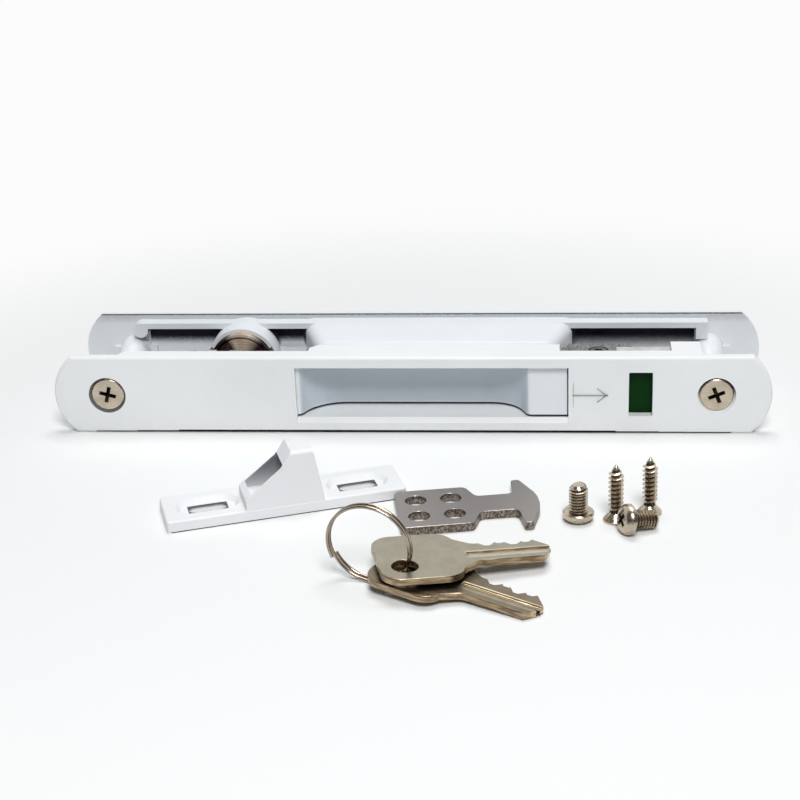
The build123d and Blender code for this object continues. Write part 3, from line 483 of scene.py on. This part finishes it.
# The carriage is an unpainted zinc casting, left rough and grey from the mould, with
# the holes for the hook cut in its back. Its pin is plain ground steel.
cast_light = (0.27, 0.27, 0.265)
cast_dark = (0.06, 0.06, 0.06)


def graded(tree, share, stops, way="LINEAR"):
    """A row of colours, from stops (place, colour) that run from 0 to 1."""
    ramp = fit(tree, "ValToRGB", {"Fac": share})
    band = ramp.color_ramp
    band.interpolation = way
    for number, (place, colour) in ((0, stops[0]), (1, stops[-1])):
        band.elements[number].position = place
        band.elements[number].color = (*colour, 1)
    for place, colour in stops[1:-1]:
        band.elements.new(place).color = (*colour, 1)
    return ramp.outputs["Color"]


rough_cast, cast_tree, cast_surface = new_material("rough_zinc_cast")
cast_grain = grain(cast_tree, own_place(cast_tree), 1500, 8, 0.7)
cast_sockets = {
    "Metallic": 0.85,
    "Base Color": graded(cast_tree, cast_grain, ((0.38, cast_dark), (0.60, cast_light))),
    "Roughness": ranged(cast_tree, cast_grain, 0, 1, 0.65, 0.4),
    "Normal": bumped(cast_tree, cast_grain, 0.8, 0.00015),
}
feed(cast_tree, cast_surface, cast_sockets)
finished("carriage", "slide", rough_cast, "carriage_casting", soft_edge=0.0002)
ground_steel = bright_metal("ground_steel", (0.58, 0.57, 0.55), (0.44, 0.43, 0.42), 0.22)
finished("carriage_pin", "slide", ground_steel, "carriage_cross_pin")


# The guide tongue is bright drawn steel pressed into the carriage, and the detent is a
# ball and a spring under a dark screwed plug.
drawn_steel = bright_metal("drawn_steel", (0.66, 0.66, 0.66), (0.50, 0.50, 0.50), 0.24)
finished("guide_tongue", "slide", drawn_steel, "guide_tongue_bar")
dark_steel = bright_metal("dark_steel", (0.15, 0.145, 0.14), (0.06, 0.06, 0.06), 0.36)
finished("detent_plug", "slide", dark_steel, "detent_screw_plug", soft_edge=0.0001)
finished("detent_spring", "slide", ground_steel, "detent_coil_spring", crease=60)
finished("detent_ball", "slide", ground_steel, "detent_steel_ball", crease=60)


# The cylinder is turned brass with nickel plate, held in the back plate by a spring clip.
# Its plug holds the brass wafers and turns the cam, a plated steel disc with the pin that
# moves the bar.
cylinder_x = -0.0514
fan_shade = (0.09, 0.05, 0.06)
fan_highlight = (2.6, 2.9, 3.0)


def turned_metal(name, colour, dull, roughness):
    """Metal with the rings of the lathe round the cylinder's axis, so its shine fans out, and with a painted
    highlight fanning out from the axis and painted shade either side of it.
    """
    material = bright_metal(name, colour, dull, roughness)
    tree = material.node_tree
    surface = tree.nodes["Principled BSDF"]
    plated = surface.inputs["Base Color"].links[0].from_socket
    axis = {0: own_place(tree), 1: (cylinder_x, 0, mid_z)}
    centred = fit(tree, "VectorMath", axis, operation="SUBTRACT").outputs["Vector"]
    around = fit(tree, "VectorMath", {0: centred, 1: (0, 1, 0)}, operation="CROSS_PRODUCT").outputs["Vector"]
    out_from_axis = split(tree, centred)
    angle = worked(tree, "ARCTAN2", out_from_axis["X"], out_from_axis["Z"])
    # Painted highlight in a fan round the axis, with painted shade on either side.
    stops = (
        (0.0, fan_shade),
        (0.42, fan_shade),
        (0.46, fan_highlight),
        (0.55, fan_highlight),
        (0.62, fan_shade),
        (1.0, fan_shade),
    )
    fan = graded(tree, ranged(tree, angle, -pi, pi), stops)
    sockets = {
        "Metallic": 0.35,
        "Anisotropic": 0.85,
        "Tangent": fit(tree, "VectorMath", {0: around}, operation="NORMALIZE").outputs["Vector"],
        "Base Color": blended(tree, 1, plated, fan, "MULTIPLY"),
    }
    feed(tree, surface, sockets)
    return material


cylinder_nickel = turned_metal("cylinder_nickel", (0.42, 0.33, 0.25), (0.26, 0.19, 0.14), 0.26)
finished("cylinder_body", "case", cylinder_nickel, "cylinder_shell", soft_edge=0.0001)
finished("cylinder_plug", "plug", cylinder_nickel, "cylinder_core")
finished("cylinder_clip", "case", ground_steel, "cylinder_spring_clip")
wafer_brass = bright_metal("wafer_brass", (0.62, 0.46, 0.22), (0.44, 0.32, 0.15), 0.3)
finished("tumblers", "plug", wafer_brass, "brass_wafers")
cam_plate = turned_metal("cam_plate", (0.36, 0.27, 0.20), (0.20, 0.13, 0.10), 0.30)
finished("cam", "plug", cam_plate, "cam_disc", soft_edge=0.0001)
finished("cam_screw", "plug", dark_steel, "cam_centre_screw")


# The two long screws that clamp the plates have flat countersunk heads with a cross
# recess, M5 threads and a bright nickel plate.
screw_nickel = bright_metal("screw_nickel", (0.60, 0.52, 0.41), (0.46, 0.39, 0.305), 0.24)
recess_shade_metal = bright_metal("screw_recess_shade", (0.10, 0.075, 0.06), (0.03, 0.024, 0.02), 0.5)


def cross_recess(blank, outline, turn, width, span, depth):
    """Cut a tapered cross into a head that faces down -Z with its top at height 0."""
    foot_share = 0.36
    mouth_share = 1.4
    skin = 0.00006
    tool = bmesh.new()
    for quarter in (0, 1):
        wing = bmesh.ops.create_cube(tool, size=1)["verts"]
        size = Matrix.Diagonal((span, width, 2 * depth, 1))
        bmesh.ops.transform(tool, matrix=Matrix.Rotation(turn + quarter * pi / 2, 4, "Z") @ size, verts=wing)
        for corner in wing:
            share = foot_share if corner.co.z > 0 else mouth_share
            corner.co.x *= share
            corner.co.y *= share
    cutter = shaped("recess_tool", tool)
    cut = blank.modifiers.new("recess", "BOOLEAN")
    cut.operation = "DIFFERENCE"
    cut.object = cutter
    cut.solver = "EXACT"
    cut.use_self = True
    view = bpy.context.evaluated_depsgraph_get()
    result = bpy.data.meshes.new_from_object(blank.evaluated_get(view))
    blank.modifiers.clear()
    blank.data = result
    bpy.data.objects.remove(cutter)
    # The faces that the cut has left below the head's crown take a dark painted shade.
    for face in blank.data.polygons:
        across = Vector(face.center[:2]).length
        crown = 0.0
        for (near_r, near_z), (far_r, far_z) in zip(outline, outline[1:]):
            if near_r <= across <= far_r and far_z < depth:
                crown = near_z + (far_z - near_z) * (across - near_r) / (far_r - near_r)
        if crown + skin < face.center.z < depth * 1.05 and across < span * 0.56:
            face.material_index = 1


def thread_ridge(bm, core, crest, pitch, start, end, fade=0.0, share=0.40):
    """A helical ridge round Z from one height to another, with its ends run into the core.

    Past the height fade, if there is one, the whole ridge narrows to the screw's point.
    """
    steps = 24
    half = pitch * share
    sunk = core - 0.00012
    point_share = 0.12
    profile = ((sunk, start - half), (crest, start), (sunk, start + half))
    base = [bm.verts.new((radius, 0, height)) for radius, height in profile]
    sides = [bm.edges.new(pair) for pair in zip(base, base[1:])]
    count = int((end - start) / pitch * steps)
    before = set(bm.verts)
    bmesh.ops.spin(
        bm,
        geom=base + sides,
        cent=(0, 0, 0),
        axis=(0, 0, 1),
        dvec=(0, 0, pitch / steps),
        angle=2 * pi * count / steps,
        steps=count,
    )
    for point in list(set(bm.verts) - before) + base:
        run = min(point.co.z - start, end - point.co.z)
        radius = (point.co.x**2 + point.co.y**2) ** 0.5
        if radius > core and run < pitch:
            keep = (core + (radius - core) * max(run / pitch, 0)) / radius
            point.co.x *= keep
            point.co.y *= keep
        if fade and point.co.z > fade:
            left = max(1 - (point.co.z - fade) / (end - fade), point_share)
            point.co.x *= left
            point.co.y *= left


def screw(name, node, outline, thread, places, recess=None, turns=()):
    """Screws of one kind: a turned blank, its cross recess and its thread, set at each place."""
    group = bmesh.new()
    for number, place in enumerate(places):
        turned = bmesh.new()
        turned_profile(turned, outline)
        blank = shaped(name + "_blank", turned)
        if recess:
            cross_recess(blank, outline, turns[number], **recess)
        one = bmesh.new()
        one.from_mesh(blank.data)
        bpy.data.objects.remove(blank)
        for edge in one.edges:
            edge.smooth = edge.calc_face_angle(0) < radians(30)
        # The root between the turns of the thread takes the same dark painted shade as the recess.
        for face in one.faces:
            face.smooth = True
            height = face.calc_center_median().z
            if thread["start"] < height < thread["end"] and abs(face.normal.z) < 0.5:
                face.material_index = 1
        thread_ridge(one, **thread)
        bmesh.ops.transform(one, matrix=place, verts=one.verts)
        one_mesh = bpy.data.meshes.new(name + "_one")
        one.to_mesh(one_mesh)
        one.free()
        group.from_mesh(one_mesh)
    piece = shaped(name, group)
    piece.data.materials.append(screw_nickel)
    piece.data.materials.append(recess_shade_metal)
    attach(piece, "case")
    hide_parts(node)


long_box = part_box("through_screws")
long_tip = long_box[1].y - long_box[0].y
long_head = 0.0047
long_shank = 0.00245
long_root = 0.0018
long_crest = 0.00205
long_outline = [
    (0, 0),
    (long_head - 0.0003, 0),
    (long_head, 0.00018),
    (long_head, 0.0003),
    (long_shank, 0.00235),
    (long_shank, 0.0322),
    (long_root, 0.0325),
    (long_root, long_tip - 0.0006),
    (long_root - 0.00055, long_tip),
    (0, long_tip),
]
screw(
    "clamping_screws",
    "through_screws",
    long_outline,
    {"core": long_root, "crest": long_crest, "pitch": 0.0008, "start": 0.0328, "end": long_tip - 0.0004},
    [
        Matrix.Translation((x, long_box[0].y, mid_z)) @ Matrix.Rotation(radians(-90), 4, "X")
        for x in (long_box[0].x + long_head, long_box[1].x - long_head)
    ],
    recess={"width": 0.00125, "span": 0.0055, "depth": 0.0022},
    turns=(radians(15), radians(-22)),
)


# Two loose machine screws for the hook: pan heads with a cross recess and a short M5
# thread, one stood on its head and one lying down.
pan_head = 0.00395
pan_height = 0.0028
pan_shank = 0.0024
pan_root = 0.0020
pan_length = 0.0099
pan_outline = [
    (0, 0),
    (pan_head - 0.0023, 0.00008),
    (pan_head - 0.0014, 0.00028),
    (pan_head - 0.0007, 0.00065),
    (pan_head - 0.0002, 0.00125),
    (pan_head, 0.0018),
    (pan_head, pan_height - 0.0003),
    (pan_head - 0.0003, pan_height),
    (pan_root, pan_height),
    (pan_root, pan_length - 0.0006),
    (pan_root - 0.0005, pan_length),
    (0, pan_length),
]
pan_thread = {
    "core": pan_shank - 0.00045,
    "crest": pan_shank,
    "pitch": 0.0008,
    "start": pan_height - 0.0006,
    "end": pan_length - 0.0003,
}
lying_dip = atan((pan_head - pan_shank) / (pan_length - 0.0014))
lying_height = pan_head * cos(lying_dip) + 0.0009 * sin(lying_dip)
standing_pan = Matrix.Translation((0.0473, front_y - 0.0542, 0))
lying_pan = (
    Matrix.Translation((0.0576, front_y - 0.0618, lying_height))
    @ Matrix.Rotation(radians(24), 4, "Z")
    @ Matrix.Rotation(radians(90) + lying_dip, 4, "Y")
)
screw(
    "hook_machine_screws",
    "hook_screws",
    pan_outline,
    pan_thread,
    [standing_pan, lying_pan],
    recess={"width": 0.0012, "span": 0.0046, "depth": 0.0019},
    turns=(radians(10), radians(30)),
)


# Two loose countersunk tapping screws for the strike, stood on their heads, with a coarse
# sharp thread that runs out to a point.
tap_head = 0.00315
tap_core = 0.00128
tap_crest = 0.00194
tap_length = 0.0154
tap_outline = [
    (0, 0),
    (tap_head - 0.00015, 0),
    (tap_head, 0.0002),
    (tap_head, 0.00055),
    (tap_core + 0.0002, 0.0023),
    (tap_core, 0.0034),
    (tap_core, tap_length - 0.0030),
    (tap_core * 0.72, tap_length - 0.0013),
    (0.00018, tap_length - 0.0001),
    (0, tap_length),
]
tap_thread = {
    "core": tap_core,
    "crest": tap_crest,
    "pitch": 0.0012,
    "start": 0.0026,
    "end": tap_length - 0.0004,
    "fade": tap_length - 0.0026,
    "share": 0.33,
}
tap_spots = ((0.0566, front_y - 0.0540, 0), (0.0652, front_y - 0.0496, 0))
tap_places = [Matrix.Translation(spot) for spot in tap_spots]
screw("strike_tapping_screws", "strike_screws", tap_outline, tap_thread, tap_places)


# The hook plate is stamped from thick steel sheet and zinc plated: smooth on its faces and
# rough on its sheared edges. Its faces carry a painted reflection, darker in the middle and
# lighter at both ends.
hook_reflection_light = (0.33, 0.305, 0.285)
hook_reflection_dark = (0.21, 0.195, 0.20)
sheared_light = (0.34, 0.29, 0.25)
sheared_dark = (0.09, 0.07, 0.06)
hook_reach = 0.019
hook_steel, hook_tree, hook_surface = new_material("hook_stamped_steel")
hook_place = own_place(hook_tree)
hook_centre = (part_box("hook_plate")[0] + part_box("hook_plate")[1]) / 2
hook_shift = {"Vector": hook_place, "Location": (-hook_centre.x, -hook_centre.y, 0)}
hook_x = split(hook_tree, fit(hook_tree, "Mapping", hook_shift).outputs["Vector"])["X"]
# Painted reflection along the plate: light at both ends and dark in the middle.
hook_face_reflection = graded(
    hook_tree,
    ranged(hook_tree, hook_x, -hook_reach, hook_reach),
    ((0.02, hook_reflection_light), (0.55, hook_reflection_dark), (0.98, hook_reflection_light)),
    "B_SPLINE",
)
shear_lines = fit(hook_tree, "Mapping", {"Vector": hook_place, "Scale": (1, 1, 0.6)}).outputs["Vector"]
shear_grain = grain(hook_tree, shear_lines, 2400, 6)
hook_edge = graded(hook_tree, shear_grain, ((0.42, sheared_dark), (0.62, sheared_light)))
hook_normal = split(hook_tree, fit(hook_tree, "NewGeometry").outputs["Normal"])
on_face = ranged(hook_tree, worked(hook_tree, "ABSOLUTE", hook_normal["Z"]), 0.35, 0.8)
hook_sockets = {
    "Metallic": 1,
    "Base Color": blended(hook_tree, on_face, hook_edge, hook_face_reflection),
    "Roughness": ranged(hook_tree, grain(hook_tree, hook_place, 2200, 6), 0, 1, 0.42, 0.30),
    "Normal": bumped(hook_tree, shear_grain, 0.4, 0.00003),
}
feed(hook_tree, hook_surface, hook_sockets)
finished("hook_plate", "case", hook_steel, "stamped_hook", soft_edge=0.00018)


# The two keys are cut from nickel-plated brass strip, with a milled groove along the blade.
# They hang on the split ring and lie one over the other.
key_tilt = radians(3.3)
key_side = (0.44, 0.34, 0.21)
key_side_dark = (0.20, 0.14, 0.085)
groove_start = 0.0155
groove_low = -0.0032
groove_high = 0.0018
# Painted highlight and shade across the groove: shares of its width and multipliers of the key's tone.
groove_light_and_shade = (
    (0.0, 1.0),
    (0.08, 1.0),
    (0.12, 1.6),
    (0.29, 1.5),
    (0.33, 0.16),
    (0.47, 0.12),
    (0.51, 1.9),
    (0.76, 1.7),
    (0.80, 1.0),
    (1.0, 1.0),
)


def cut_key(name, spot, turn, light, dull):
    """Nickel on brass: plain faces, warmer rough sides, and along the groove painted highlights and a line of
    painted shade.
    """
    material = bright_metal(name, light, dull, 0.30, turn=radians(-turn))
    tree = material.node_tree
    surface = tree.nodes["Principled BSDF"]
    plated = surface.inputs["Base Color"].links[0].from_socket
    laid_out = {"Vector": own_place(tree), "Location": spot, "Rotation": (0, key_tilt, radians(turn))}
    own = fit(tree, "Mapping", laid_out, vector_type="TEXTURE").outputs["Vector"]
    on_key = split(tree, own)
    normal = split(tree, fit(tree, "NewGeometry").outputs["Normal"])
    drawn = fit(tree, "Mapping", {"Vector": own, "Scale": (0.12, 0.3, 1.0)}).outputs["Vector"]
    side_tone = graded(tree, grain(tree, drawn, 1500, 3), ((0.40, key_side_dark), (0.58, key_side)))
    plain = blended(tree, ranged(tree, normal["Z"], 0.55, 0.9), side_tone, plated)
    across = ranged(tree, on_key["Y"], groove_low, groove_high)
    groove = graded(tree, across, [(place, (shade, shade, shade)) for place, shade in groove_light_and_shade])
    on_blade = ranged(tree, on_key["X"], groove_start, groove_start + 0.0015)
    feed(tree, surface, {"Base Color": blended(tree, on_blade, plain, groove, "MULTIPLY")})
    return material


upper_spot = (0.0053, front_y - 0.0870, 0.00474)
upper_turn = 16.2
upper_metal = cut_key("upper_key_nickel", upper_spot, upper_turn, (0.385, 0.350, 0.275), (0.33, 0.30, 0.235))
finished("key_upper", "upper_key", upper_metal, "upper_key_blank", soft_edge=0.00016)
lower_spot = (0.0064, front_y - 0.0849, 0.0022)
lower_turn = -27.4
lower_metal = cut_key("lower_key_nickel", lower_spot, lower_turn, (0.25, 0.215, 0.155), (0.19, 0.155, 0.11))
finished("key_lower", "lower_key", lower_metal, "lower_key_blank", soft_edge=0.00016)


# The split ring is two turns of nickel-plated spring wire that lie side by side. The keys
# hang on it by the holes in their bows.
ring_metal = bright_metal("ring_nickel", (0.44, 0.375, 0.30), (0.30, 0.25, 0.20), 0.16)
finished("split_ring", "case", ring_metal, "split_ring_wire", crease=60)


# The set stands on a pale table that takes its shadow and fades into the white backdrop
# further out. Metal reflects the same pale tones that the camera sees.
table_half = 3
table_tone_seen = (0.825, 0.83, 0.82)
table_tone_lit = (0.84, 0.84, 0.84)
fade_start = 0.11
fade_end = 0.27
table_top = bmesh.new()
bmesh.ops.create_grid(table_top, x_segments=1, y_segments=1, size=table_half)
table = shaped("table", table_top)
table_material, table_tree, table_shader = new_material("table_white")
table_tree.nodes.remove(table_shader)
rays = fit(table_tree, "LightPath").outputs
seen = worked(table_tree, "MAXIMUM", rays["Is Camera Ray"], rays["Is Glossy Ray"])
seen = worked(table_tree, "MAXIMUM", seen, rays["Is Transmission Ray"])
away = fit(table_tree, "VectorMath", {0: own_place(table_tree)}, operation="LENGTH").outputs["Value"]
far = ranged(table_tree, away, fade_start, fade_end, way="SMOOTHSTEP")
far = worked(table_tree, "MULTIPLY", far, seen)
table_tone = blended(table_tree, seen, table_tone_lit, table_tone_seen)
table_paint = fit(table_tree, "BsdfDiffuse", {"Color": table_tone}).outputs["BSDF"]
glow = fit(table_tree, "Emission", {"Color": (0.965, 0.97, 0.965)}).outputs["Emission"]
table_look = fit(table_tree, "MixShader", {"Fac": far, 1: table_paint, 2: glow}).outputs["Shader"]
feed(table_tree, table_tree.nodes["Material Output"], {"Surface": table_look})
table.data.materials.append(table_material)


# The room gives a weak cool light. Mirrors see a white backdrop behind the set and a darker
# room on the camera's side, and the camera sees plain white.
backdrop_white = (0.97, 0.975, 0.97)
world = bpy.data.worlds.new("studio")
bpy.context.scene.world = world
world.use_nodes = True
room = world.node_tree
room_light = room.nodes["Background"]
feed(room, room_light, {"Color": (0.70, 0.84, 1.0), "Strength": 0.12})
behind = split(room, fit(room, "TexCoord").outputs["Generated"])["Y"]
behind = ranged(room, behind, -0.25, 0.25, way="SMOOTHSTEP")
mirror_tone = blended(room, behind, (0.10, 0.10, 0.11), backdrop_white)
for_mirrors = fit(room, "Background", {"Color": mirror_tone, "Strength": 1.0}).outputs["Background"]
for_camera = fit(room, "Background", {"Color": backdrop_white, "Strength": 1.0}).outputs["Background"]
rays = fit(room, "LightPath").outputs
mirrored = worked(room, "MAXIMUM", rays["Is Glossy Ray"], rays["Is Transmission Ray"])
around_set = {"Fac": mirrored, 1: room_light.outputs["Background"], 2: for_mirrors}
around_set = fit(room, "MixShader", around_set).outputs["Shader"]
in_view = {"Fac": rays["Is Camera Ray"], 1: around_set, 2: for_camera}
feed(room, room.nodes["World Output"], {"Surface": fit(room, "MixShader", in_view).outputs["Shader"]})


# Two soft square lamps light the set: one high in front and a little to the right, and a
# weaker one above and a little behind.
for lamp_name, lamp_spot, lamp_size, lamp_power in (
    ("lamp_front", (0.14, -0.70, 0.92), 0.4, 9.9),
    ("lamp_above", (0.05, 0.22, 1.0), 0.5, 5.2),
):
    lamp = bpy.data.lights.new(lamp_name, "AREA")
    lamp.size = lamp_size
    lamp.energy = lamp_power
    holder = bpy.data.objects.new(lamp_name, lamp)
    bpy.context.scene.collection.objects.link(holder)
    holder.location = lamp_spot
    holder.rotation_euler = (-Vector(lamp_spot)).to_track_quat("-Z", "Y").to_euler()


# The camera looks down on the set from in front and a little to the right, at the angles
# and the distance of the photograph.
pitch = radians(22.486)
yaw = radians(4.550)
roll = radians(-1.683)
camera_spot = (0.04467, front_y - 0.43110, 0.18912)
ahead = Vector((-sin(yaw) * cos(pitch), cos(yaw) * cos(pitch), -sin(pitch)))
level = Vector((cos(yaw), sin(yaw), 0))
above = level.cross(ahead)
right = cos(roll) * level + sin(roll) * above
up = -sin(roll) * level + cos(roll) * above
camera_data = bpy.data.cameras.new("camera")
camera_data.lens = 75.27
camera_data.sensor_width = 36
camera_data.shift_x = -0.05625
camera = bpy.data.objects.new("camera", camera_data)
bpy.context.scene.collection.objects.link(camera)
camera.matrix_world = Matrix(
    [(right[row], up[row], -ahead[row], camera_spot[row]) for row in range(3)] + [(0, 0, 0, 1)]
)
bpy.context.scene.camera = camera
bpy.context.scene.view_settings.view_transform = "Standard"
